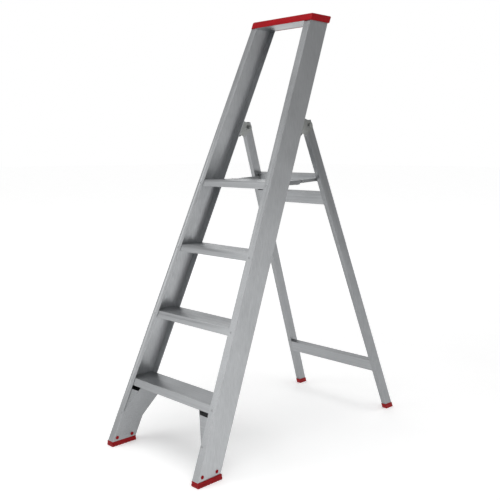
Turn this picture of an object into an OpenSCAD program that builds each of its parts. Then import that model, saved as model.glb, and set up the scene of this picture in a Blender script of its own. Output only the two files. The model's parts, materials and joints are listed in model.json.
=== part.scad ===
// Aluminium step ladder with a hinged rear frame, a lifting platform and a hand-rail top.
// The front faces -Y, +Z is up, and the origin is on the floor in the middle of the footprint.

/* [Overall] */
// Width over the front stiles at the floor
front_base_w = 504; // [420:1:620]
// Height from one tread to the next
tread_rise = 240; // [200:1:290]
// Height of the top of the lowest tread
first_tread_h = 241; // [225:1:290]
// Height of the top of the cap above the platform
rail_h = 603; // [500:1:730]
// Lean of the front frame from the vertical, in degrees
front_lean = 22.92; // [18:0.01:26]
// Lean of the rear frame from the vertical, in degrees
rear_lean = 20.91; // [16:0.01:24]
// Sideways lean of each front stile in its own frame, in degrees
front_splay = 3.49; // [2.5:0.01:4.5]
// Sideways lean of each rear stile in its own frame, in degrees
rear_splay = 3.79; // [2.8:0.01:4.8]

/* [Front stiles] */
// Depth of the stile channel, front to back
stile_depth = 93; // [75:1:115]
// Width of each flange of the channel
stile_flange = 29; // [24:0.5:36]
// Wall of the channel
stile_wall = 2; // [1.5:0.1:3]
// Height at which the bottom of the stile is cut
stile_cut_h = 18; // [12:1:30]

/* [Treads] */
// Height of a tread's front and rear lips
tread_lip = 24; // [18:0.5:32]
// Plate thickness of the treads
tread_wall = 1.8; // [1.4:0.1:3]
// Spacing of the grip ribs
rib_pitch = 5; // [4:0.5:8]
// Height of the grip ribs
rib_h = 1; // [0.5:0.1:1.4]
// Sideways gap between a tread and each stile web
tread_gap = 0.4; // [0.2:0.1:1]

/* [Gussets] */
// Sheet thickness of the gussets
gusset_wall = 2; // [1.5:0.1:3]
// Distance along the stile from the floor line to the bend
gusset_bend_s = 132.5; // [110:0.5:160]
// Angle of the slanted part from the stile, in degrees
gusset_angle = 28; // [20:0.5:34]
// Height of the top edge of the side flanges
gusset_flange_h = 204; // [170:0.5:210]

/* [Front feet] */
// How far the shoe stands out past the stile
foot_proud = 2; // [1:0.1:4]
// Height of the thicker lower band of the shoe
foot_band_h = 8; // [5:0.5:12]
// How far the shoe's front face is set back from the stile line at the floor
foot_setback = 8; // [0:0.5:14]
// Height of the plug inside the stile
foot_plug_h = 75; // [60:1:90]

/* [Top] */
// Height of the cap's skirt
cap_skirt = 25; // [18:0.5:40]
// Wall of the cap
cap_wall = 3; // [2:0.1:4]
// How far the cap stands out at the front and sides
cap_proud = 2.2; // [1.5:0.1:4]
// How far the cap stands out at the back
cap_back_proud = 6; // [1.5:0.1:10]
// Corner radius of the cap
cap_corner = 4; // [3:0.5:6]

/* [Rear frame] */
// Sideways size of the rear tubes
tube_w = 19; // [15:0.5:23]
// Front-to-back size of the rear tubes
tube_d = 38; // [30:0.5:46]
// Wall of the rear tubes
tube_wall = 1.8; // [1.2:0.1:2.5]
// Height of the bottom edge of the lower bar
lower_bar_h = 170; // [120:1:300]
// Drop from the platform to the bottom edge of the upper bar
upper_bar_drop = 94; // [70:1:200]
// Width of the lower bar along the rear frame
lower_bar_w = 50; // [36:1:60]
// Width of the upper bar along the rear frame
upper_bar_w = 46; // [32:1:56]
// Depth of the channel bars
bar_d = 20; // [14:0.5:30]
// Height of the rest bar at platform level
rest_bar_w = 25; // [18:0.5:30]
// How far the rest bar is set back from the front of the rear tubes
rest_bar_setback = 18; // [16:0.5:20]
// Height of the rear foot caps
rear_foot_h = 20; // [14:0.5:30]

/* [Hinge] */
// Height of the rear frame's pivot above the platform
pivot_rise = 200; // [170:1:240]
// Distance from the back of the stile to the pivot
pivot_out = 32.9; // [28:0.1:40]
// Plate thickness of the hinge brackets
bracket_wall = 2.5; // [2:0.1:4]
// Gap between a bracket cheek and the rear tube
bracket_clear = 2.5; // [1.6:0.1:3.5]
// Shank radius of the hinge bolts
bolt_r = 4; // [3:0.1:5]
// Radial clearance between bolt and bush
bolt_clear = 0.06; // [0.03:0.01:0.1]

/* [Platform] */
// Front-to-back size of the deck
deck_depth = 83; // [69:1:90]
// Height of the deck's lips
deck_lip = 16; // [12:0.5:20]
// Distance from the deck's hinge back to the elbow of the stays
elbow_run = 102.2; // [96:0.1:108]
// Thickness of the side plates and of the stays
arm_t = 3; // [2:0.1:4]
// Height of the stays
stay_h = 11; // [8:0.5:12]
// Distance of the stay's rear pivot behind the front of the rear tubes
stay_pivot_d = 8; // [6:0.5:12]

/* [Rivets] */
// Shank radius of the rivets
rivet_r = 2.4; // [1.6:0.1:3]
// Head radius of the rivets
rivet_head_r = 4.6; // [3.4:0.1:5.5]

/* [Hidden] */
$fn = 48;
far = 3000;                  // longer than anything in the ladder
sides = [-1, 1];
alu = [0.78, 0.79, 0.80];
alu_dark = [0.70, 0.71, 0.72];
red = [0.72, 0.07, 0.10];
steel = [0.60, 0.61, 0.63];
black = [0.16, 0.16, 0.17];
grey = [0.48, 0.48, 0.49];

// Heights.
tread_heights = [for (i = [0:3]) first_tread_h + i * tread_rise];
platform_h = tread_heights[3];
total_h = platform_h + rail_h;
pivot_h = platform_h + pivot_rise;
upper_bar_h = platform_h - upper_bar_drop;

// Front frame: s runs up the stiles, d runs back from their front faces.
sin_f = sin(front_lean);
cos_f = cos(front_lean);
front_half = front_base_w / 2;
function front_s(z, d) = (z + d * sin_f) / cos_f;
function front_x(s) = front_half - s * tan(front_splay);
function front_y(z, d) = front_y0 + (d + z * sin_f) / cos_f;

// The pivot, from its height and its distance behind the stiles.
pivot_d = stile_depth + pivot_out;
pivot_s = front_s(pivot_h, pivot_d);
pivot_x = front_x(pivot_s);

// Rear frame: s runs up the tubes, d runs back from their front faces.
sin_r = sin(rear_lean);
cos_r = cos(rear_lean);
pivot_rear_s = (pivot_h - tube_d / 2 * sin_r) / cos_r;
tube_face_w = tube_w / cos(rear_splay);
bracket_w = tube_w + 2 * (bracket_wall + bracket_clear);
tube_middle = pivot_x - bracket_w / 2 / cos(front_splay);
rear_half = tube_middle + tube_face_w / 2 + pivot_rear_s * tan(rear_splay);
function rear_s(z, d) = (z - d * sin_r) / cos_r;
function rear_x(s) = rear_half - s * tan(rear_splay);
function rear_y(z, d) = rear_y0 + (d - z * sin_r) / cos_r;
function tube_inner_x(s) = rear_x(s) - tube_face_w;

// Footprint, measured from the front stile line, then centred on the origin.
rear_run = (pivot_d + pivot_h * sin_f) / cos_f - (tube_d / 2 - pivot_h * sin_r) / cos_r;
rear_foot_proud = 1.5;
foot_back = rear_run + (tube_d + rear_foot_proud) / cos_r;
front_y0 = -(foot_setback - foot_proud + foot_back) / 2;
rear_y0 = front_y0 + rear_run;
pivot_y = front_y(pivot_h, pivot_d);

tread_back = stile_depth - stile_wall;
cap_bottom = total_h - cap_skirt;
cap_clear = 0.5;
stile_top = total_h - cap_wall - cap_clear;
bracket_low = 41;            // below the pivot, along the stile
bracket_high = 14.4;         // above the pivot, along the stile
bracket_nose = 18.5;
bush_r = 7;
tube_over = 18;              // tube length above the pivot

// Deck, its front hinge, and the stays that join its elbows to the rear tubes.
leaf_wall = 1.4;
knuckle_r = 2.5;
hinge_pin_r = 1.2;
hinge_gap = 0.3;
hinge_half = 20;
middle_half = 8;
hinge_x = 110;
deck_under = platform_h - rib_h - tread_wall;
hinge_z = deck_under - hinge_gap - knuckle_r;
deck_front_y = front_y(platform_h, tread_back) + 4;
hinge_y = deck_front_y + knuckle_r;
deck_back_y = deck_front_y + deck_depth;
deck_lip_y = hinge_y + 12;
leaf_rivet_y = hinge_y + 7.6;
elbow_y = hinge_y + elbow_run;
elbow_z = platform_h - 3.5;
stay_end_z = platform_h + 1;
stay_end_y = rear_y(stay_end_z, stay_pivot_d);
stay_run = norm([stay_end_y - elbow_y, stay_end_z - elbow_z]);
stay_slope = atan2(stay_end_z - elbow_z, stay_end_y - elbow_y);
stay_pin_r = 3;
stay_eye_r = stay_h / 2 + 0.5;
pin_head_r = 4.6;
pin_head_t = 1.5;
// The stay's tip, turned up along the tube, still clears the tube's inner face.
stay_gap = 0.3;
stay_clear = 0.4;
stay_tip_drop = norm([stay_end_y - pivot_y, stay_end_z - pivot_h]) - stay_run - stay_eye_r;
stay_out = tube_inner_x(pivot_rear_s - stay_tip_drop) - stay_clear;
stay_x = stay_out - arm_t;
plate_x = stay_x - stay_gap;
deck_half = plate_x - arm_t;

// ---- frames -------------------------------------------------------------
module front_frame() translate([0, front_y0, 0]) rotate([-front_lean, 0, 0]) children();
module rear_frame() translate([0, rear_y0, 0]) rotate([rear_lean, 0, 0]) children();
// On the right stile: x = 0 is the web's outer face, y is d, z is s.
module on_front_stile() front_frame() translate([front_half, 0, 0]) rotate([0, -front_splay, 0])
    children();
module on_rear_stile() rear_frame() translate([rear_half, 0, 0]) rotate([0, -rear_splay, 0])
    children();
module side(k) mirror([k < 0 ? 1 : 0, 0, 0]) children();
module slab(z0, z1) translate([-far / 2, -far / 2, z0]) cube([far, far, z1 - z0]);
module along_x(x0, x1) translate([x0, 0, 0]) rotate([90, 0, 90]) linear_extrude(x1 - x0) children();
module bore_x(x0, x1, y, z, r) translate([x0, y, z]) rotate([0, 90, 0]) cylinder(r = r, h = x1 - x0);

// ---- fasteners ----------------------------------------------------------
// Domed rivet: the head sits on z = 0 and the shank runs down through the grip.
function dome(r) = [for (a = [0:18:90]) [r * cos(a), 0.38 * r * sin(a)]];
rivet_tail_t = 1.4;
module rivet(grip, r = rivet_r, head = rivet_head_r, spread = 1.3) {
    low = -grip - rivet_tail_t;
    tail_r = spread * r;
    rotate_extrude()
        polygon(concat([[0, low], [tail_r, low], [tail_r, -grip], [r, -grip], [r, 0]], dome(head)));
}
module screw(length, r, head) rotate_extrude()
    polygon(concat([[0, -length], [r, -length], [r, 0]], dome(head)));
module rivet_hole(depth, r = rivet_r) translate([0, 0, -depth]) cylinder(r = r, h = depth + 4);

// Places on the right stile for the rivets through a flange.
module at_front_flange(s, inset) translate([-inset, 0, s]) rotate([90, 0, 0]) children();
module at_back_flange(s, inset) translate([-inset, stile_depth, s]) rotate([-90, 0, 0]) children();
tread_rivet_inset = 16.5;
tread_rivet_drop = 10;
gusset_rivet_inset = 22;
module at_tread_rivets() for (h = tread_heights) {
    at_front_flange(front_s(h - tread_rivet_drop, 0), tread_rivet_inset) children();
    at_back_flange(front_s(h - tread_rivet_drop, stile_depth), tread_rivet_inset) children();
}
module at_gusset_rivets() {
    at_front_flange(gusset_bend_s - 2, gusset_rivet_inset) children();
    at_back_flange(gusset_bend_s - 2, gusset_rivet_inset) children();
}
module at_bracket_rivets() for (s = [-bracket_low + 11, bracket_high - 11])
    translate([-stile_flange / 2, stile_depth + bracket_wall, pivot_s + s])
        rotate([-90, 0, 0]) children();
// Foot pins cross the stile from the web to the gusset.
foot_pin_places = [[13.3, 40.4], [stile_depth - 20.3, 64.4]];
foot_pin_r = 3.5;
foot_pin_head_r = 6.5;
module at_foot_pins() for (p = foot_pin_places)
    translate([0, p[0], p[1]]) rotate([0, 90, 0]) children();

// ---- front frame --------------------------------------------------------
module front_stile_profile() difference() {
    translate([-stile_flange, 0]) square([stile_flange, stile_depth]);
    translate([-stile_flange - 1, stile_wall])
        square([stile_flange + 1 - stile_wall, stile_depth - 2 * stile_wall]);
}
module front_stile(k) color(alu) side(k) difference() {
    intersection() {
        on_front_stile() translate([0, 0, -40]) linear_extrude(total_h * 1.2) front_stile_profile();
        slab(stile_cut_h, stile_top);
    }
    on_front_stile() {
        at_tread_rivets() rivet_hole(stile_wall + 1);
        at_gusset_rivets() rivet_hole(stile_wall + 1);
        at_bracket_rivets() rivet_hole(stile_wall + bracket_wall + 1);
        at_foot_pins() translate([0, 0, -stile_wall - 1]) cylinder(r = foot_pin_r, h = stile_wall + 2);
    }
}
// Space between the two webs, less a gap on each side.
module between_webs(gap) front_frame() translate([0, far / 2, 0]) rotate([90, 0, 0])
    linear_extrude(far) polygon([for (k = sides, s = [0, total_h * 1.2])
        [k * (front_x(k > 0 ? s : total_h * 1.2 - s) - stile_wall / cos(front_splay) - gap),
         k > 0 ? s : total_h * 1.2 - s]]);
// Ribbed top line from y0 to y1 at height h.
function ribs(y0, y1, h) = [for (i = [0:floor((y1 - y0 - rib_pitch / 2) / rib_pitch)], p = [0:3])
    [y0 + i * rib_pitch + (p < 2 ? 0 : rib_pitch / 2), h - (p == 1 || p == 2 ? 0 : rib_h)]];
tread_return = 9;
module tread_profile(h) {
    low = h - tread_lip;
    under = h - rib_h - tread_wall;
    f = stile_wall;
    b = tread_back;
    w = tread_wall;
    polygon(concat(
        [[front_y(low, f), low], [front_y(h, f), h], [front_y(h, f) + 2, h]],
        ribs(front_y(h, f) + 4, front_y(h, b) - 3, h),
        [[front_y(h, b) - 2, h - rib_h], [front_y(h, b) - 2, h], [front_y(h, b), h],
         [front_y(low, b), low], [front_y(low, b) - tread_return, low],
         [front_y(low, b) - tread_return, low + w], [front_y(low + w, b - w), low + w],
         [front_y(under, b - w), under], [front_y(under, f + w), under],
         [front_y(low + w, f + w), low + w], [front_y(low, f) + tread_return, low + w],
         [front_y(low, f) + tread_return, low]]));
}
module tread(i) color(alu_dark) difference() {
    intersection() {
        along_x(-front_half, front_half) tread_profile(tread_heights[i]);
        between_webs(tread_gap);
    }
    for (k = sides) side(k) on_front_stile() at_tread_rivets() rivet_hole(stile_wall + tread_wall + 2);
    if (i == 3)
        at_fixed_leaf_rivets() rivet_hole(leaf_wall + tread_wall + 2, leaf_rivet_r);
}
module tread_rivets() color(steel) for (k = sides) side(k) on_front_stile() at_tread_rivets()
    rivet(stile_wall + tread_wall);

// Bent gusset: a leg across the flange tips, then a slant in to the lowest tread.
gusset_top = first_tread_h - tread_lip - 0.3;
function gusset_x(s) = front_x(min(s, gusset_bend_s)) - stile_flange / cos(front_splay)
    - max(s - gusset_bend_s, 0) * tan(gusset_angle);
gusset_end_s = front_s(first_tread_h, stile_depth);
module across_channel(d0, d1) front_frame() translate([0, d1, 0]) rotate([90, 0, 0])
    linear_extrude(d1 - d0) children();
module gusset_strip() {
    marks = [0, gusset_bend_s, gusset_end_s];
    slant_wall = gusset_wall / cos(gusset_angle);
    polygon(concat([for (s = marks) [gusset_x(s), s]],
        [[gusset_x(marks[2]) + slant_wall, marks[2]]],
        [for (s = [marks[1], marks[0]]) [gusset_x(s) + gusset_wall, s]]));
}
gusset_side_drop = 50;
module gusset_side(d) {
    low_s = gusset_bend_s - gusset_side_drop;
    top_s = front_s(gusset_flange_h, d);
    inner = stile_wall + tread_gap + 0.2;
    polygon([[gusset_x(low_s), low_s], [gusset_x(gusset_bend_s), gusset_bend_s],
        [gusset_x(top_s), top_s], [front_x(top_s) - inner, top_s],
        [front_x(low_s) - inner, low_s]]);
}
module gusset(k) color(alu_dark) side(k) difference() {
    intersection() {
        union() {
            across_channel(stile_wall, tread_back) gusset_strip();
            across_channel(stile_wall, stile_wall + gusset_wall) gusset_side(stile_wall);
            across_channel(tread_back - gusset_wall, tread_back) gusset_side(tread_back);
        }
        slab(stile_cut_h, gusset_top);
    }
    on_front_stile() {
        at_gusset_rivets() rivet_hole(stile_wall + gusset_wall + 2);
        at_foot_pins() translate([0, 0, -stile_flange - 6]) cylinder(r = foot_pin_r, h = 14);
    }
}
module gusset_rivets() color(steel) for (k = sides) side(k) on_front_stile() at_gusset_rivets()
    rivet(stile_wall + gusset_wall);

// Moulded shoe: a stepped pad under the stile and a plug inside it.
plug_gap = 0.4;
plug_front = stile_wall + gusset_wall + rivet_tail_t + plug_gap;
foot_groove_w = 3;
foot_grooves = 6;
module front_foot(k) color(red) side(k) difference() {
    union() {
        shoe_layer(0, foot_band_h, foot_proud);
        shoe_layer(foot_band_h, stile_cut_h, foot_proud - 0.8);
        intersection() {
            on_front_stile() translate([-stile_flange + gusset_wall + plug_gap, plug_front, -20])
                cube([stile_flange - gusset_wall - stile_wall - 2 * plug_gap,
                      stile_depth - 2 * plug_front, far]);
            slab(stile_cut_h - 1, foot_plug_h);
        }
    }
    on_front_stile() at_foot_pins() translate([0, 0, -stile_flange]) cylinder(r = foot_pin_r, h = far);
    for (i = [0:foot_grooves - 1])
        translate([front_half - stile_flange * 2,
                   shoe_front + 8 + i * (shoe_len - 16) / foot_grooves, -1])
            cube([far, foot_groove_w, 2.2]);
}
shoe_front = front_y0 + foot_setback;
shoe_len = stile_depth / cos_f + stile_cut_h * tan(front_lean) - foot_setback;
module shoe_layer(z0, z1, proud)
    translate([front_half - stile_flange - proud - 1, shoe_front - proud, z0])
    cube([stile_flange + 2 * proud + 1, shoe_len + 2 * proud, z1 - z0]);
module front_foot_pins() color(red) for (k = sides) side(k) on_front_stile() at_foot_pins() {
    rivet(stile_flange, foot_pin_r, foot_pin_head_r, foot_pin_head_r / foot_pin_r);
}

// ---- top ----------------------------------------------------------------
screw_r = 1.8;
screw_x = 90;
screw_y = front_y(total_h, stile_depth / 2);
boss_r = 5;
module at_cap_screws() for (k = sides) translate([k * screw_x, screw_y, cap_bottom]) children();
module top_crosspiece() color(alu) difference() {
    intersection() {
        difference() {
            along_x(-front_half, front_half) polygon([
                [front_y(cap_bottom, stile_wall), cap_bottom],
                [front_y(cap_bottom, tread_back), cap_bottom],
                [front_y(stile_top, tread_back), stile_top],
                [front_y(stile_top, stile_wall), stile_top]]);
            along_x(-far / 2, far / 2) polygon([
                [front_y(cap_bottom, stile_wall + tread_wall), cap_bottom + tread_wall],
                [front_y(cap_bottom, tread_back - tread_wall), cap_bottom + tread_wall],
                [front_y(total_h, tread_back - tread_wall), total_h],
                [front_y(total_h, stile_wall + tread_wall), total_h]]);
        }
        between_webs(tread_gap);
    }
    at_cap_screws() translate([0, 0, -1]) cylinder(r = screw_r, h = tread_wall + 2);
}
function arc(cx, cy, r, a0) = [for (a = [a0:15:a0 + 90]) [cx + r * cos(a), cy + r * sin(a)]];
function round_box(x, y0, y1, r) = concat(arc(x - r, y1 - r, r, 0), arc(-x + r, y1 - r, r, 90),
    arc(-x + r, y0 + r, r, 180), arc(x - r, y0 + r, r, 270));
cap_half = front_x(front_s(cap_bottom, 0)) + cap_proud;
cap_front = front_y(total_h, -cap_proud);
cap_back = front_y(total_h, stile_depth + cap_back_proud);
cap_step = 2;
module cap_solid(inset, corner, z0, z1)
    multmatrix([[1, 0, 0, 0], [0, 1, tan(front_lean), 0], [0, 0, 1, 0]])
        translate([0, -total_h * tan(front_lean), z0]) linear_extrude(z1 - z0)
            polygon(round_box(cap_half - inset, cap_front + inset, cap_back - inset, corner));
module top_cap() color(red) difference() {
    union() {
        difference() {
            cap_solid(0, cap_corner, cap_bottom, total_h - cap_step);
            cap_solid(cap_proud - 0.2, 0.5, cap_bottom - 1, total_h - cap_wall);
        }
        cap_solid(cap_step, cap_corner - 1, total_h - cap_step - 0.01, total_h);
        at_cap_screws() translate([0, 0, tread_wall + 0.1])
            cylinder(r = boss_r, h = cap_skirt - tread_wall - 1);
    }
    at_cap_screws() translate([0, 0, -1]) cylinder(r = screw_r, h = 16);
}
module cap_screws() color(steel) at_cap_screws() rotate([180, 0, 0]) screw(13.4, screw_r, 4);

// ---- hinge --------------------------------------------------------------
module cheek_outline() {
    nose = [for (a = [-60:15:90]) [bracket_nose * cos(a), bracket_nose * sin(a)]];
    polygon(concat([[-pivot_out, -bracket_low], [-4, -bracket_low + 1]], nose,
        [[-pivot_out, bracket_high]]));
}
module hinge_bracket(k) color(steel) side(k) difference() {
    on_front_stile() {
        for (x = [-bracket_w, -bracket_wall]) translate([x, pivot_d, pivot_s])
            along_x(0, bracket_wall) cheek_outline();
        translate([-bracket_w, stile_depth, pivot_s - bracket_low])
            cube([bracket_w, bracket_wall, bracket_low + bracket_high]);
    }
    bore_x(0, far / 2, pivot_y, pivot_h, bolt_r);
    on_front_stile() at_bracket_rivets() rivet_hole(stile_wall + bracket_wall + 1);
}
module bracket_rivets() color(steel) for (k = sides) side(k) on_front_stile() at_bracket_rivets()
    rivet(stile_wall + bracket_wall);
head_gap = 0.5;
bolt_out = pivot_x + head_gap;
bolt_in = pivot_x - bracket_w / cos(front_splay) - head_gap;
washer_t = 1.2;
module hinge_bolts() color(steel) for (k = sides) side(k) {
    bore_x(bolt_in - 8, bolt_out + 2, pivot_y, pivot_h, bolt_r);
    translate([bolt_out, pivot_y, pivot_h]) rotate([0, 90, 0]) cylinder(r = 7.5, h = 4.6, $fn = 6);
}
module hinge_washers() color(steel) for (k = sides) side(k) difference() {
    bore_x(bolt_in - washer_t, bolt_in, pivot_y, pivot_h, 8);
    bore_x(bolt_in - washer_t - 1, bolt_in + 1, pivot_y, pivot_h, bolt_r);
}
module hinge_nuts() color(steel) for (k = sides) side(k) difference() {
    translate([bolt_in - washer_t - 5.5, pivot_y, pivot_h]) rotate([0, 90, 0])
        cylinder(r = 7.5, h = 5.5, $fn = 6);
    bore_x(bolt_in - washer_t - 7, bolt_in, pivot_y, pivot_h, bolt_r);
}
bush_end = 0.75;
module pivot_bushes() color(black) for (k = sides) side(k) difference() {
    bore_x(pivot_x - (bracket_w - bracket_wall) / cos(front_splay) + bush_end,
        pivot_x - bracket_wall - bush_end, pivot_y, pivot_h, bush_r);
    bore_x(0, far / 2, pivot_y, pivot_h, bolt_r + bolt_clear);
}

// ---- rear frame ---------------------------------------------------------
// Each bar: its low edge along the frame, its width, its setback and its depth.
rest_bar_drop = 13;
bars = [
    [rear_s(lower_bar_h, 0), lower_bar_w, 0, bar_d],
    [rear_s(upper_bar_h, 0), upper_bar_w, 0, bar_d],
    [rear_s(platform_h - rest_bar_drop, 0), rest_bar_w, rest_bar_setback, tube_d - rest_bar_setback]];
// The place on a splayed tube's inner face that is level with s on the rear frame.
function on_tube(s) = (s + tube_w * sin(rear_splay)) / cos(rear_splay);
tab_wall = 1.8;
face_rivet_inset = 6;
face_rivet_rise = 12;
module at_bar_rivets() for (b = bars, t = [0.3, 0.7])
    translate([-tube_w - tab_wall, b[2] + b[3] / 2, on_tube(b[0] + b[1] * t)])
        rotate([0, -90, 0]) children();
module at_face_rivets() for (b = [bars[1], bars[2]])
    translate([-tube_w + face_rivet_inset, 0, on_tube(b[0] + face_rivet_rise)])
        rotate([90, 0, 0]) children();
module rear_stile(k) color(alu) side(k) difference() {
    intersection() {
        on_rear_stile() difference() {
            translate([-tube_w, 0, -40]) cube([tube_w, tube_d, pivot_rear_s + tube_over + 40]);
            translate([-tube_w + tube_wall, tube_wall, -50])
                cube([tube_w - 2 * tube_wall, tube_d - 2 * tube_wall, far]);
        }
        slab(rear_foot_h, far);
    }
    bore_x(0, far / 2, pivot_y, pivot_h, bush_r);
    on_rear_stile() {
        at_bar_rivets() rivet_hole(tube_wall + tab_wall + 1);
        at_face_rivets() rivet_hole(tube_wall + 1);
    }
}
// Space between the rear tubes.
module between_tubes(gap) rear_frame() translate([0, far / 2, 0]) rotate([90, 0, 0])
    linear_extrude(far) polygon([for (k = sides, s = [0, total_h])
        [k * (tube_inner_x(k > 0 ? s : total_h - s) - gap), k > 0 ? s : total_h - s]]);
bar_fit = 0.1;
module rear_bar(b) color(alu_dark) difference() {
    intersection() {
        union() {
            rear_frame() difference() {
                translate([-rear_half, b[2], b[0]]) cube([2 * rear_half, b[3], b[1]]);
                translate([-far / 2, b[2] + tab_wall, b[0] + tab_wall])
                    cube([far, b[3], b[1] - 2 * tab_wall]);
            }
            for (k = sides) side(k) on_rear_stile()
                translate([-tube_w - tab_wall, b[2], on_tube(b[0])]) cube([tab_wall, b[3], b[1]]);
        }
        between_tubes(bar_fit);
    }
    for (k = sides) side(k) on_rear_stile() at_bar_rivets() rivet_hole(tube_wall + tab_wall + 1);
}
module rear_bar_rivets() color(steel) for (k = sides) side(k) on_rear_stile() {
    at_bar_rivets() rivet(tab_wall + tube_wall, rivet_r, 4.2);
    at_face_rivets() rivet(tube_wall, rivet_r, 3.6);
}
boss_face = stay_out + stay_gap;
module stay_bosses() color(steel) for (k = sides) side(k) intersection() {
    bore_x(boss_face, far / 4, stay_end_y, stay_end_z, 5);
    between_tubes(0);
}
module stay_pivot_pins() color(steel) for (k = sides) side(k) {
    bore_x(stay_x - stay_gap - 0.01, boss_face, stay_end_y, stay_end_z, stay_pin_r);
    bore_x(stay_x - stay_gap - pin_head_t, stay_x - stay_gap, stay_end_y, stay_end_z, pin_head_r);
}
module rear_foot(k) color(red) side(k) union() {
    p = rear_foot_proud;
    intersection() {
        on_rear_stile() translate([-tube_w - p, -p, -60]) cube([tube_w + 2 * p, tube_d + 2 * p, 200]);
        slab(0, rear_foot_h);
    }
    intersection() {
        on_rear_stile() translate([-tube_w + tube_wall + 0.2, tube_wall + 0.2, -40])
            cube([tube_w - 2 * tube_wall - 0.4, tube_d - 2 * tube_wall - 0.4, 200]);
        slab(rear_foot_h - 1, rear_foot_h + 26);
    }
}

// ---- platform deck ------------------------------------------------------
deck_return = 7;
module deck_profile() {
    low = platform_h - deck_lip;
    w = tread_wall;
    top = platform_h - rib_h;
    polygon(concat(
        [[deck_front_y, deck_under], [deck_front_y, platform_h], [deck_front_y + 2, platform_h]],
        ribs(deck_front_y + 4, deck_back_y - 3, platform_h),
        [[deck_back_y - 2, top], [deck_back_y - 2, platform_h], [deck_back_y, platform_h],
         [deck_back_y, low], [deck_back_y - deck_return, low], [deck_back_y - deck_return, low + w],
         [deck_back_y - w, low + w], [deck_back_y - w, deck_under],
         [deck_lip_y + w, deck_under], [deck_lip_y + w, low + w],
         [deck_lip_y + deck_return, low + w], [deck_lip_y + deck_return, low],
         [deck_lip_y, low], [deck_lip_y, deck_under]]));
}
module platform_deck() color(alu_dark) difference() {
    along_x(-deck_half, deck_half) deck_profile();
    at_moving_leaf_rivets() rivet_hole(deck_rivet_depth, leaf_rivet_r);
    at_side_plate_rivets() rivet_hole(deck_rivet_depth, leaf_rivet_r);
}
// The deck's rivets sit on its ribs and grip the sheet under it.
leaf_rivet_r = 1.6;
leaf_rivet_head_r = 3;
deck_grip = rib_h + tread_wall + leaf_wall;
deck_rivet_depth = deck_grip + 2;
side_tab = 12;
side_tab_gap = 0.3;
side_rivet_inset = 14;
nose_out = 6.5;              // side plate's round nose, behind the deck
nose_flat = 5;
tongue_run = elbow_y - deck_back_y + 10;
// Side plate seen along X: deep beside the deck, then a slim tongue back to the elbow.
module side_plate_outline() {
    low = platform_h - deck_lip;
    nose_y = deck_back_y + nose_out;
    polygon([[deck_lip_y, low], [deck_back_y + 3, low + 1], [nose_y + nose_flat, elbow_z - 4],
        [nose_y + nose_flat, elbow_z + 1.5], [deck_back_y, platform_h], [deck_lip_y, platform_h]]);
    translate([nose_y, elbow_z]) circle(r = stay_eye_r);
    translate([elbow_y, elbow_z]) rotate(stay_slope) {
        circle(r = stay_eye_r);
        translate([-tongue_run, -stay_h / 2]) square([tongue_run, stay_h]);
    }
}
module side_plate(k) color(grey) side(k) difference() {
    tab_y = deck_lip_y + tread_wall + side_tab_gap;
    union() {
        along_x(deck_half, plate_x) side_plate_outline();
        translate([deck_half - side_tab, tab_y, deck_under - leaf_wall])
            cube([side_tab + 0.1, deck_back_y - tread_wall - side_tab_gap - tab_y, leaf_wall]);
    }
    bore_x(0, far / 2, elbow_y, elbow_z, stay_pin_r);
    at_side_plate_rivets() rivet_hole(deck_rivet_depth, leaf_rivet_r);
}
module at_side_plate_rivets()
    for (k = sides, y = [deck_lip_y + side_rivet_inset, deck_back_y - side_rivet_inset])
        translate([k * (deck_half - side_tab / 2), y, platform_h]) children();
module side_plate_rivets() color(steel) at_side_plate_rivets()
    rivet(deck_grip, leaf_rivet_r, leaf_rivet_head_r);
module elbow_pins() color(steel) for (k = sides) side(k) {
    bore_x(deck_half - 0.01, plate_x, elbow_y, elbow_z, stay_pin_r);
    bore_x(deck_half - pin_head_t, deck_half, elbow_y, elbow_z, pin_head_r);
}
module stay(k) color(grey) side(k) difference() {
    union() {
        bore_x(stay_x, stay_out, elbow_y, elbow_z, stay_eye_r);
        bore_x(stay_x, stay_out, stay_end_y, stay_end_z, stay_eye_r);
        translate([stay_x, elbow_y, elbow_z]) rotate([stay_slope, 0, 0])
            translate([0, 0, -stay_h / 2]) cube([arm_t, stay_run, stay_h]);
    }
    bore_x(0, far / 2, elbow_y, elbow_z, stay_pin_r);
    bore_x(0, far / 2, stay_end_y, stay_end_z, stay_pin_r + bolt_clear);
}
// Flush rivet in the stay's front eye.
module elbow_rivet(k) color(steel) side(k) bore_x(stay_x, stay_out, elbow_y, elbow_z, stay_pin_r);

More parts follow.
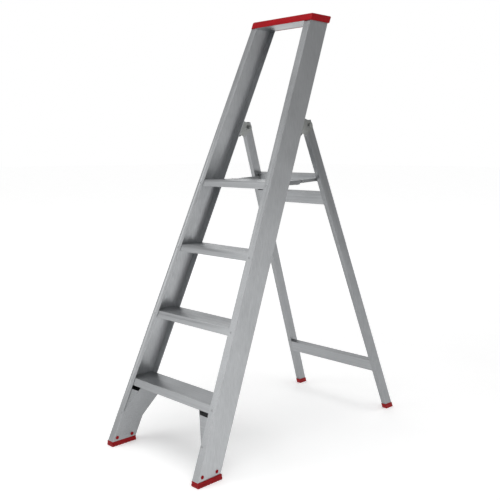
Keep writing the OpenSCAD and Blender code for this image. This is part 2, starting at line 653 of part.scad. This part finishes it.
// ---- deck hinges --------------------------------------------------------
fixed_leaf_high = 6;         // leaf edges, below the platform
fixed_leaf_low = 23;
fixed_leaf_rivet = 17;
strip_t = 1;
module at_hinges() for (k = sides) translate([k * hinge_x, 0, 0]) children();
module knuckle(x0, x1) difference() {
    bore_x(x0, x1, hinge_y, hinge_z, knuckle_r);
    bore_x(x0 - 1, x1 + 1, hinge_y, hinge_z, hinge_pin_r + 0.05);
}
module fixed_strip(x0, x1) difference() {
    low = hinge_z - knuckle_r;
    leaf_d = tread_back + leaf_wall / 2;
    along_x(x0, x1) polygon([[front_y(low, leaf_d), low], [hinge_y, low],
        [hinge_y, low + strip_t], [front_y(low + strip_t, leaf_d), low + strip_t]]);
    bore_x(x0 - 1, x1 + 1, hinge_y, hinge_z, hinge_pin_r + 0.05);
}
module fixed_hinge_leaves() color(steel) at_hinges() difference() {
    union() {
        along_x(-hinge_half, hinge_half) polygon([for (p = [[0, fixed_leaf_low],
            [0, fixed_leaf_high], [leaf_wall, fixed_leaf_high], [leaf_wall, fixed_leaf_low]])
            [front_y(platform_h - p[1], tread_back + p[0]), platform_h - p[1]]]);
        for (k = sides) side(k) {
            fixed_strip(middle_half, hinge_half);
            knuckle(middle_half, hinge_half);
        }
    }
    for (x = [-hinge_x, hinge_x]) translate([x, 0, 0])
        at_fixed_leaf_rivets() rivet_hole(leaf_wall + tread_wall + 2, leaf_rivet_r);
}
module moving_hinge_leaves() color(steel) at_hinges() difference() {
    m = middle_half - hinge_gap;
    union() {
        knuckle(-m, m);
        translate([-m, hinge_y, deck_under - leaf_wall])
            cube([2 * m, deck_lip_y - hinge_y - hinge_gap, leaf_wall]);
        translate([-hinge_half, hinge_y + knuckle_r + hinge_gap, deck_under - leaf_wall])
            cube([2 * hinge_half, deck_lip_y - hinge_y - knuckle_r - 2 * hinge_gap, leaf_wall]);
    }
    bore_x(-m - 1, m + 1, hinge_y, hinge_z, hinge_pin_r + 0.05);
    for (x = [-hinge_x, hinge_x]) translate([x, 0, 0])
        at_moving_leaf_rivets() rivet_hole(deck_rivet_depth, leaf_rivet_r);
}
module deck_hinge_pins() color(steel) at_hinges()
    bore_x(-hinge_half, hinge_half, hinge_y, hinge_z, hinge_pin_r);
leaf_rivet_x = 14;
fixed_rivet_z = platform_h - fixed_leaf_rivet;
fixed_rivet_y = front_y(fixed_rivet_z, tread_back + leaf_wall);
module at_fixed_leaf_rivets() for (k = sides, j = sides)
    translate([k * hinge_x + j * leaf_rivet_x, fixed_rivet_y, fixed_rivet_z])
        rotate([-front_lean - 90, 0, 0]) children();
module at_moving_leaf_rivets() for (k = sides, j = sides)
    translate([k * hinge_x + j * leaf_rivet_x, leaf_rivet_y, platform_h]) children();
module fixed_leaf_rivets() color(steel) at_fixed_leaf_rivets()
    rivet(leaf_wall + tread_wall, leaf_rivet_r, leaf_rivet_head_r);
module moving_leaf_rivets() color(steel) at_moving_leaf_rivets()
    rivet(deck_grip, leaf_rivet_r, leaf_rivet_head_r);

front_stile(-1);  // left_front_stile
front_stile(1);  // right_front_stile
tread(0);  // tread_1
tread(1);  // tread_2
tread(2);  // tread_3
tread(3);  // top_tread
top_crosspiece();
top_cap();
cap_screws();
gusset(-1);  // left_gusset
gusset(1);  // right_gusset
gusset_rivets();
tread_rivets();
front_foot(-1);  // left_front_foot
front_foot(1);  // right_front_foot
front_foot_pins();
hinge_bracket(-1);  // left_hinge_bracket
hinge_bracket(1);  // right_hinge_bracket
bracket_rivets();
hinge_bolts();
hinge_washers();
hinge_nuts();
pivot_bushes();
rear_stile(-1);  // left_rear_stile
rear_stile(1);  // right_rear_stile
rear_bar(bars[0]);  // lower_rear_bar
rear_bar(bars[1]);  // upper_rear_bar
rear_bar(bars[2]);  // platform_rest_bar
rear_bar_rivets();
stay_bosses();
stay_pivot_pins();
rear_foot(-1);  // left_rear_foot
rear_foot(1);  // right_rear_foot
platform_deck();
side_plate(-1);  // left_side_plate
side_plate(1);  // right_side_plate
side_plate_rivets();
elbow_pins();
stay(-1);  // left_stay
stay(1);  // right_stay
elbow_rivet(-1);  // left_elbow_rivet
elbow_rivet(1);  // right_elbow_rivet
fixed_hinge_leaves();
moving_hinge_leaves();
deck_hinge_pins();
fixed_leaf_rivets();
moving_leaf_rivets();
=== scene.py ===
"""Looks for the aluminium step ladder: edges, finishes, rivet pins, studio and camera."""

import json
import math

import bmesh
import bpy
import numpy as np
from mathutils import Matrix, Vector


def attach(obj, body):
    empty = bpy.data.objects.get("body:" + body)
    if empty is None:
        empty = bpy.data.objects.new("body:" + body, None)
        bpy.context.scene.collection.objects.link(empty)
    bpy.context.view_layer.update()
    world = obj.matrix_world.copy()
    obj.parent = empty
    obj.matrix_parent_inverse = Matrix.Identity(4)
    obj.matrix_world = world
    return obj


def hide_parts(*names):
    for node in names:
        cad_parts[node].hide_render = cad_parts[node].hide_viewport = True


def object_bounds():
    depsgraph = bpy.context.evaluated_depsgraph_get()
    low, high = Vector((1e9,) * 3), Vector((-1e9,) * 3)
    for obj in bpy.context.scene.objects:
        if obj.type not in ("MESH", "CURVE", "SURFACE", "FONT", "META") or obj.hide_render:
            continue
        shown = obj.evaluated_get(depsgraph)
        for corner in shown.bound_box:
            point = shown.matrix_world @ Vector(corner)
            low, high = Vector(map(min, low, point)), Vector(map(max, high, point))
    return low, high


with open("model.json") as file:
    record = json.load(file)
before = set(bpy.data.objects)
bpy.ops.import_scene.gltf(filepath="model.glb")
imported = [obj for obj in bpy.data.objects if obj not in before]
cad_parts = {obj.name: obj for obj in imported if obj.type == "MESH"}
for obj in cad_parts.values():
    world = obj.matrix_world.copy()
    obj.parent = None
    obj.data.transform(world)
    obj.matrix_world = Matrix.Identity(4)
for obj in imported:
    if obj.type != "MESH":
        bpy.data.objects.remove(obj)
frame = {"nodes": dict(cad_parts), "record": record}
cad_low, cad_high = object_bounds()

MM = 0.001
FRONT_LEAN = math.radians(22.92)
REAR_LEAN = math.radians(20.91)
WELD = 0.002 * MM
FLAT_ANGLE = math.radians(1.0)
BEVEL_ANGLE = math.radians(30)
SHARP_ANGLE = math.radians(24)

BODY_OF = {
    node: body
    for body, nodes in frame["record"]["behaviour"]["bodies"].items()
    for node in nodes
}


# ---- nodes and colours ------------------------------------------------------
def linear(hex_colour):
    """An sRGB hex colour as linear RGBA."""
    parts = [int(hex_colour[i : i + 2], 16) / 255 for i in (1, 3, 5)]
    return [c / 12.92 if c <= 0.04045 else ((c + 0.055) / 1.055) ** 2.4 for c in parts] + [1.0]


def add(tree, kind, inputs=None, **settings):
    """Adds a node with its settings, and sets or links its inputs."""
    made = tree.nodes.new(kind)
    for name, value in settings.items():
        setattr(made, name, value)
    for key, value in (inputs or {}).items():
        if isinstance(value, bpy.types.NodeSocket):
            tree.links.new(value, made.inputs[key])
        else:
            made.inputs[key].default_value = value
    return made


def new_material(name, shader):
    """A material with its shader and output, and the constants on the shader's own sockets."""
    material = bpy.data.materials.new(name)
    material.use_nodes = True
    tree = material.node_tree
    tree.nodes.clear()
    bsdf = add(tree, "ShaderNodeBsdfPrincipled", shader)
    add(tree, "ShaderNodeOutputMaterial", {"Surface": bsdf.outputs[0]})
    return material, tree, bsdf


def mix_colour(tree, factor, low, high):
    """Output that runs from one colour to another."""
    mixed = add(tree, "ShaderNodeMix", {0: factor, 6: low, 7: high}, data_type="RGBA")
    return mixed.outputs[2]


def spread(tree, value, low, high, start=0.3, stop=0.7):
    """Maps a noise onto the range from low to high."""
    mapped = add(
        tree,
        "ShaderNodeMapRange",
        {"Value": value, "From Min": start, "From Max": stop, "To Min": low, "To Max": high},
    )
    return mapped.outputs[0]


def grain(tree, turn, scale, detail=3.0):
    """Noise on Object coordinates, turned and stretched. Scale is in cells per metre."""
    place = add(tree, "ShaderNodeTexCoord")
    mapped = add(
        tree,
        "ShaderNodeMapping",
        {"Vector": place.outputs["Object"], "Rotation": turn, "Scale": scale},
    )
    noise = add(
        tree,
        "ShaderNodeTexNoise",
        {"Vector": mapped.outputs[0], "Scale": 1.0, "Detail": detail, "Roughness": 0.6},
    )
    return noise.outputs[0]


def cells(size_mm):
    """Cells per metre for a pattern of this size."""
    return 1 / (size_mm * MM)


def streaks(run_mm, across_mm, along):
    """Noise scale for marks that are long on one axis."""
    return [cells(run_mm) if axis == along else cells(across_mm) for axis in range(3)]


# ---- materials --------------------------------------------------------------
X_AXIS, Z_AXIS = 0, 2
LEVEL = (0, 0, 0)
LINE_RUN_MM = 700
MARK_RUN_MM, MARK_MM, MARK_AMOUNT = 140, 9, 0.35
CLOUD_CELLS = (9, 9, 9)
FLOOR_DUST = 0.55


def extruded_aluminium(name, clean, dull, rough, turn, along, line_mm=1.6, depth=0.5):
    """Extruded aluminium, etched and anodised: die lines run the length of the bar."""
    material, tree, bsdf = new_material(name, {"Metallic": 1.0, "Anisotropic": 0.35})
    lines = grain(tree, turn, streaks(LINE_RUN_MM, line_mm, along))
    clouds = grain(tree, LEVEL, CLOUD_CELLS, 4.0)
    marks = grain(tree, turn, streaks(MARK_RUN_MM, MARK_MM, along), 5.0)
    tone = mix_colour(tree, spread(tree, lines, 0.0, 1.0), linear(clean), linear(dull))
    amount = spread(tree, marks, 0.0, MARK_AMOUNT, 0.55, 0.75)
    worn = mix_colour(tree, amount, tone, linear("#a9abad"))
    tree.links.new(worn, bsdf.inputs["Base Color"])
    base = spread(tree, clouds, rough - 0.05, rough + 0.06)
    fine = spread(tree, lines, -0.04, 0.05)
    summed = add(tree, "ShaderNodeMath", {0: base, 1: fine}, operation="ADD")
    tree.links.new(summed.outputs[0], bsdf.inputs["Roughness"])
    bump = add(
        tree,
        "ShaderNodeBump",
        {"Height": lines, "Strength": depth, "Distance": 0.06 * MM},
    )
    tree.links.new(bump.outputs[0], bsdf.inputs["Normal"])
    return material


def zinc_plate():
    """Zinc-plated steel: a pale bluish metal with the mottle of the passivated plating."""
    material, tree, bsdf = new_material("zinc_plated_steel", {"Metallic": 1.0})
    mottle = grain(tree, LEVEL, [cells(4)] * 3, 4.0)
    spangle = grain(tree, LEVEL, [cells(0.9)] * 3, 2.0)
    tone = mix_colour(tree, spread(tree, mottle, 0.0, 1.0), linear("#a3a7ab"), linear("#8f8f86"))
    tree.links.new(tone, bsdf.inputs["Base Color"])
    tree.links.new(spread(tree, mottle, 0.3, 0.46), bsdf.inputs["Roughness"])
    bump = add(tree, "ShaderNodeBump", {"Height": spangle, "Strength": 0.3, "Distance": 0.03 * MM})
    tree.links.new(bump.outputs[0], bsdf.inputs["Normal"])
    return material


def powder_coat():
    """Grey powder coat on steel: orange peel, with pale rub marks where parts slide."""
    material, tree, bsdf = new_material("grey_powder_coat", {"IOR": 1.5})
    peel = grain(tree, LEVEL, [cells(1.1)] * 3, 2.0)
    rubs = grain(tree, LEVEL, (cells(5), cells(60), cells(5)), 5.0)
    worn = spread(tree, rubs, 0.0, 0.6, 0.56, 0.74)
    tone = mix_colour(tree, worn, linear("#7a7c7e"), linear("#97999b"))
    tree.links.new(tone, bsdf.inputs["Base Color"])
    tree.links.new(spread(tree, rubs, 0.46, 0.34), bsdf.inputs["Roughness"])
    bump = add(tree, "ShaderNodeBump", {"Height": peel, "Strength": 0.4, "Distance": 0.05 * MM})
    tree.links.new(bump.outputs[0], bsdf.inputs["Normal"])
    return material


def moulded_plastic(name, clean, deep, dust, rough, dusty_height):
    """Moulded polypropylene with a spark-eroded grain; scuffs and dust gather near the floor."""
    material, tree, bsdf = new_material(name, {"IOR": 1.49, "Specular IOR Level": 0.15})
    spark = grain(tree, LEVEL, [cells(0.7)] * 3, 2.0)
    flow = grain(tree, LEVEL, (cells(60), cells(25), cells(14)), 4.0)
    scuffs = grain(tree, LEVEL, (cells(3), cells(22), cells(3)), 6.0)
    tone = mix_colour(tree, spread(tree, flow, 0.0, 1.0), linear(clean), linear(deep))
    place = add(tree, "ShaderNodeTexCoord")
    height = add(tree, "ShaderNodeSeparateXYZ", {0: place.outputs["Object"]})
    low = spread(tree, height.outputs["Z"], FLOOR_DUST, 0.0, 0.0, dusty_height)
    scuffed = spread(tree, scuffs, 0.0, 1.0, 0.52, 0.72)
    amount = add(tree, "ShaderNodeMath", {0: low, 1: scuffed}, operation="MULTIPLY")
    colour = mix_colour(tree, amount.outputs[0], tone, linear(dust))
    tree.links.new(colour, bsdf.inputs["Base Color"])
    tree.links.new(spread(tree, flow, rough - 0.04, rough + 0.08), bsdf.inputs["Roughness"])
    bump = add(tree, "ShaderNodeBump", {"Height": spark, "Strength": 0.35, "Distance": 0.04 * MM})
    tree.links.new(bump.outputs[0], bsdf.inputs["Normal"])
    return material


FINISHES = {
    "front_stile": extruded_aluminium(
        "anodised_front_stile", "#bfc1c3", "#afb1b3", 0.38, (FRONT_LEAN, 0, 0), Z_AXIS
    ),
    # Painted shade: the rear stiles get darker tones (#a2a4a6, #929496) than the front stiles'
    # aluminium, standing for the shade that falls on the rear frame.
    "rear_stile": extruded_aluminium(
        "anodised_rear_tube_painted_shade", "#a2a4a6", "#929496", 0.38, (-REAR_LEAN, 0, 0), Z_AXIS
    ),
    "tread": extruded_aluminium(
        "ribbed_tread_extrusion", "#bbbdbf", "#a8aaac", 0.36, LEVEL, X_AXIS
    ),
    "brace": extruded_aluminium(
        "rolled_aluminium_sheet", "#adafb1", "#9b9d9f", 0.42, LEVEL, X_AXIS, 2.4
    ),
    "rivet": extruded_aluminium(
        "turned_rivet_aluminium", "#b4b6b8", "#9fa1a3", 0.33, LEVEL, Z_AXIS, 0.8
    ),
    "zinc": zinc_plate(),
    "powder": powder_coat(),
    "red": moulded_plastic("red_polypropylene", "#a00714", "#8c0610", "#8c5450", 0.45, 0.02),
    "black_plastic": moulded_plastic("black_acetal", "#1a1a1c", "#101011", "#3a3a3a", 0.4, 0.02),
}

# Node, finish, edge radius in millimetres.
LOOKS = (
    [(f"{side}_front_stile", "front_stile", 0.8) for side in ("left", "right")]
    + [(f"{side}_rear_stile", "rear_stile", 0.8) for side in ("left", "right")]
    + [("top_crosspiece", "brace", 0.4)]
    + [(f"tread_{i}", "tread", 0.25) for i in (1, 2, 3)]
    + [("top_tread", "tread", 0.25), ("platform_deck", "tread", 0.25)]
    + [(f"{side}_gusset", "brace", 0.5) for side in ("left", "right")]
    + [(f"{name}_rear_bar", "brace", 0.5) for name in ("lower", "upper")]
    + [("platform_rest_bar", "brace", 0.5)]
    + [(f"{side}_front_foot", "red", 1.0) for side in ("left", "right")]
    + [(f"{side}_rear_foot", "red", 1.0) for side in ("left", "right")]
    + [("top_cap", "red", 0.8), ("front_foot_pins", "red", 0.3)]
    + [(f"{side}_hinge_bracket", "zinc", 0.5) for side in ("left", "right")]
    + [(name, "zinc", 0.4) for name in ("hinge_bolts", "hinge_nuts", "hinge_washers")]
    + [(f"{name}_hinge_leaves", "zinc", 0.2) for name in ("fixed", "moving")]
    + [("deck_hinge_pins", "zinc", 0.2)]
    + [
        (name, "zinc", 0.3)
        for name in ("stay_bosses", "stay_pivot_pins", "elbow_pins", "cap_screws")
    ]
    + [(f"{side}_elbow_rivet", "zinc", 0.2) for side in ("left", "right")]
    + [(f"{side}_side_plate", "powder", 0.4) for side in ("left", "right")]
    + [(f"{side}_stay", "powder", 0.4) for side in ("left", "right")]
    + [("pivot_bushes", "black_plastic", 0.3)]
)
RIVET_NODES = [
    "tread_rivets",
    "gusset_rivets",
    "bracket_rivets",
    "fixed_leaf_rivets",
    "rear_bar_rivets",
    "side_plate_rivets",
    "moving_leaf_rivets",
]


# ---- softened pieces --------------------------------------------------------
def merged_copy(node):
    """The node's mesh with its triangles welded and its flat faces whole again."""
    shape = bmesh.new()
    shape.from_mesh(frame["nodes"][node].data)
    bmesh.ops.remove_doubles(shape, verts=shape.verts, dist=WELD)
    bmesh.ops.dissolve_limit(
        shape, angle_limit=FLAT_ANGLE, verts=shape.verts, edges=shape.edges
    )
    bmesh.ops.recalc_face_normals(shape, faces=shape.faces)
    return shape


def soften(node, finish, radius_mm):
    """A piece in the node's place, with the small edge radii of a real extrusion or moulding."""
    shape = merged_copy(node)
    mesh = bpy.data.meshes.new(f"{node}_piece")
    shape.to_mesh(mesh)
    shape.free()
    piece = bpy.data.objects.new(f"{node}_piece", mesh)
    bpy.context.scene.collection.objects.link(piece)
    bevel = piece.modifiers.new("edges", "BEVEL")
    bevel.width = radius_mm * MM
    bevel.segments = 2
    bevel.limit_method = "ANGLE"
    bevel.angle_limit = BEVEL_ANGLE
    evaluated = piece.evaluated_get(bpy.context.evaluated_depsgraph_get())
    piece.data = bpy.data.meshes.new_from_object(evaluated)
    piece.modifiers.remove(bevel)
    piece.data.polygons.foreach_set("use_smooth", [True] * len(piece.data.polygons))
    piece.data.set_sharp_from_angle(angle=SHARP_ANGLE)
    piece.data.materials.clear()
    piece.data.materials.append(FINISHES[finish])
    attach(piece, BODY_OF[node])
    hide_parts(node)
    return piece


for look in LOOKS:
    soften(*look)
for name in RIVET_NODES:
    target = frame["nodes"][name]
    for place in target.material_slots:
        place.material = FINISHES["rivet"]


# ---- blind rivet mandrels ---------------------------------------------------
def islands(node):
    """Corner positions of each separate solid in a node."""
    shape = merged_copy(node)
    shape.verts.ensure_lookup_table()
    seen = set()
    groups = []
    for start in shape.verts:
        if start.index in seen:
            continue
        stack = [start]
        seen.add(start.index)
        found = []
        while stack:
            corner = stack.pop()
            found.append(list(corner.co))
            for edge in corner.link_edges:
                other = edge.other_vert(corner)
                if other.index not in seen:
                    seen.add(other.index)
                    stack.append(other)
        groups.append(np.array(found))
    shape.free()
    return groups


def rivet_top(corners):
    """The top of a rivet's dome, the direction that it faces, and its head radius."""
    middle = corners.mean(0)
    spans, axes = np.linalg.eigh(np.cov((corners - middle).T))
    odd = 0 if spans[1] - spans[0] > spans[2] - spans[1] else 2
    axis = axes[:, odd]
    along = (corners - middle) @ axis
    reach = np.linalg.norm(corners - middle - np.outer(along, axis), axis=1)
    rim = along[reach > 0.95 * reach.max()].mean()
    if rim < (along.min() + along.max()) / 2:
        axis, along = -axis, -along
    return middle + axis * along.max(), axis, reach.max()


# Shares of the rivet head's radius.
PIN_TIP_SHARE, PIN_SHARE, PIN_RISE = 0.22, 0.3, 0.12


def mandrel_tree():
    """Instances the snapped pin on every dome."""
    tree = bpy.data.node_groups.new("rivet_mandrels", "GeometryNodeTree")
    face = tree.interface
    face.new_socket("Geometry", in_out="INPUT", socket_type="NodeSocketGeometry")
    face.new_socket("Pin share", in_out="INPUT", socket_type="NodeSocketFloat")
    face.new_socket("Pin rise", in_out="INPUT", socket_type="NodeSocketFloat")
    face.new_socket("Finish", in_out="INPUT", socket_type="NodeSocketMaterial")
    face.new_socket("Geometry", in_out="OUTPUT", socket_type="NodeSocketGeometry")
    given = add(tree, "NodeGroupInput")
    pin = add(
        tree,
        "GeometryNodeMeshCone",
        {
            "Vertices": 16,
            "Radius Top": PIN_TIP_SHARE,
            "Radius Bottom": given.outputs["Pin share"],
            "Depth": given.outputs["Pin rise"],
        },
    )
    axis = add(tree, "GeometryNodeInputNamedAttribute", {"Name": "axis"}, data_type="FLOAT_VECTOR")
    reach = add(tree, "GeometryNodeInputNamedAttribute", {"Name": "reach"}, data_type="FLOAT")
    turn = add(
        tree, "FunctionNodeAlignRotationToVector", {"Vector": axis.outputs[0]}, axis="Z"
    )
    placed = add(
        tree,
        "GeometryNodeInstanceOnPoints",
        {
            "Points": given.outputs["Geometry"],
            "Instance": pin.outputs["Mesh"],
            "Rotation": turn.outputs[0],
            "Scale": reach.outputs[0],
        },
    )
    real = add(tree, "GeometryNodeRealizeInstances", {0: placed.outputs[0]})
    painted = add(
        tree,
        "GeometryNodeSetMaterial",
        {"Geometry": real.outputs[0], "Material": given.outputs["Finish"]},
    )
    add(tree, "NodeGroupOutput", {0: painted.outputs[0]})
    return tree


MANDRELS = mandrel_tree()


def mandrels(body):
    """One piece for each body that holds the pins of all its rivets."""
    tops = [
        rivet_top(corners)
        for node in RIVET_NODES
        if BODY_OF[node] == body
        for corners in islands(node)
    ]
    mesh = bpy.data.meshes.new(f"{body}_mandrels")
    mesh.from_pydata([list(top) for top, _, _ in tops], [], [])
    mesh.attributes.new("axis", "FLOAT_VECTOR", "POINT").data.foreach_set(
        "vector", np.array([axis for _, axis, _ in tops]).ravel()
    )
    mesh.attributes.new("reach", "FLOAT", "POINT").data.foreach_set(
        "value", np.array([reach for _, _, reach in tops])
    )
    piece = bpy.data.objects.new(f"{body}_mandrels", mesh)
    bpy.context.scene.collection.objects.link(piece)
    modifier = piece.modifiers.new("mandrels", "NODES")
    modifier.node_group = MANDRELS
    values = {"Pin share": PIN_SHARE, "Pin rise": PIN_RISE, "Finish": FINISHES["zinc"]}
    for item in MANDRELS.interface.items_tree:
        if item.in_out == "INPUT" and item.name in values:
            modifier[item.identifier] = values[item.name]
    evaluated = piece.evaluated_get(bpy.context.evaluated_depsgraph_get())
    piece.data = bpy.data.meshes.new_from_object(evaluated)
    piece.modifiers.remove(modifier)
    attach(piece, body)
    return piece


for body_name in ("front_frame", "rear_frame", "platform"):
    mandrels(body_name)


# ---- studio -----------------------------------------------------------------
ROOM_GLOW = 0.36
# The floor glows more with distance from the ladder, so that it meets the surroundings.
GLOW_NEAR, GLOW_FAR = 0.34, 0.75
GLOW_START, GLOW_STOP = 1.5, 7.0
FLOOR_REACH = 40


def studio_floor():
    """A wide pale floor."""
    size = FLOOR_REACH
    mesh = bpy.data.meshes.new("studio_floor")
    mesh.from_pydata(
        [(-size, -size, 0), (size, -size, 0), (size, size, 0), (-size, size, 0)],
        [],
        [(0, 1, 2, 3)],
    )
    floor = bpy.data.objects.new("studio_floor", mesh)
    bpy.context.scene.collection.objects.link(floor)
    material, tree, bsdf = new_material("matt_white_floor", {"Roughness": 0.9})
    haze = grain(tree, LEVEL, (2, 2, 2), 2.0)
    tone = mix_colour(tree, haze, linear("#f4f4f4"), linear("#f0f0f0"))
    tree.links.new(tone, bsdf.inputs["Base Color"])
    tree.links.new(tone, bsdf.inputs["Emission Color"])
    place = add(tree, "ShaderNodeTexCoord")
    away = add(tree, "ShaderNodeVectorMath", {0: place.outputs["Object"]}, operation="LENGTH")
    glow = spread(tree, away.outputs["Value"], GLOW_NEAR, GLOW_FAR, GLOW_START, GLOW_STOP)
    tree.links.new(glow, bsdf.inputs["Emission Strength"])
    mesh.materials.append(material)


def soft_light(name, place, aim, size, power):
    """A square soft box at a place, turned to its aim."""
    data = bpy.data.lights.new(name, "AREA")
    data.shape = "SQUARE"
    data.size = size
    data.energy = power
    light = bpy.data.objects.new(name, data)
    light.location = place
    light.rotation_mode = "QUATERNION"
    light.rotation_quaternion = (Vector(aim) - Vector(place)).to_track_quat("-Z", "Y")
    bpy.context.scene.collection.objects.link(light)


def studio_world(strength):
    """Even surroundings that light the ladder softly and look white behind it."""
    world = bpy.data.worlds.new("pale_room")
    world.use_nodes = True
    tree = world.node_tree
    tree.nodes.clear()
    glow = add(tree, "ShaderNodeBackground", {"Color": linear("#ffffff"), "Strength": strength})
    white = add(tree, "ShaderNodeBackground", {"Color": linear("#ffffff"), "Strength": 1.0})
    ray = add(tree, "ShaderNodeLightPath")
    seen = add(
        tree,
        "ShaderNodeMixShader",
        {0: ray.outputs["Is Camera Ray"], 1: glow.outputs[0], 2: white.outputs[0]},
    )
    add(tree, "ShaderNodeOutputWorld", {"Surface": seen.outputs[0]})
    bpy.context.scene.world = world


def studio_camera():
    """The main view: from the front right, a little below the hand-rail."""
    data = bpy.data.cameras.new("main_camera")
    data.sensor_width = 36
    data.lens = 53.0
    data.clip_start = 0.05
    data.clip_end = 200
    camera = bpy.data.objects.new("main_camera", data)
    camera.location = (1.9438, -1.9934, 1.0755)
    camera.rotation_euler = (math.radians(90 - 7.815), 0, math.radians(45.12))
    bpy.context.scene.collection.objects.link(camera)
    bpy.context.scene.camera = camera


centre = (cad_low + cad_high) / 2
studio_floor()
studio_world(ROOM_GLOW)
soft_light("front_box", (-2.6, -5.2, 3.4), centre, 4.5, 80)
soft_light("top_box", (0.6, -0.6, 4.8), centre, 3.6, 110)
soft_light("back_box", (-3.4, 3.4, 2.8), centre, 3.5, 32)
bpy.context.scene.view_settings.view_transform = "Standard"
studio_camera()
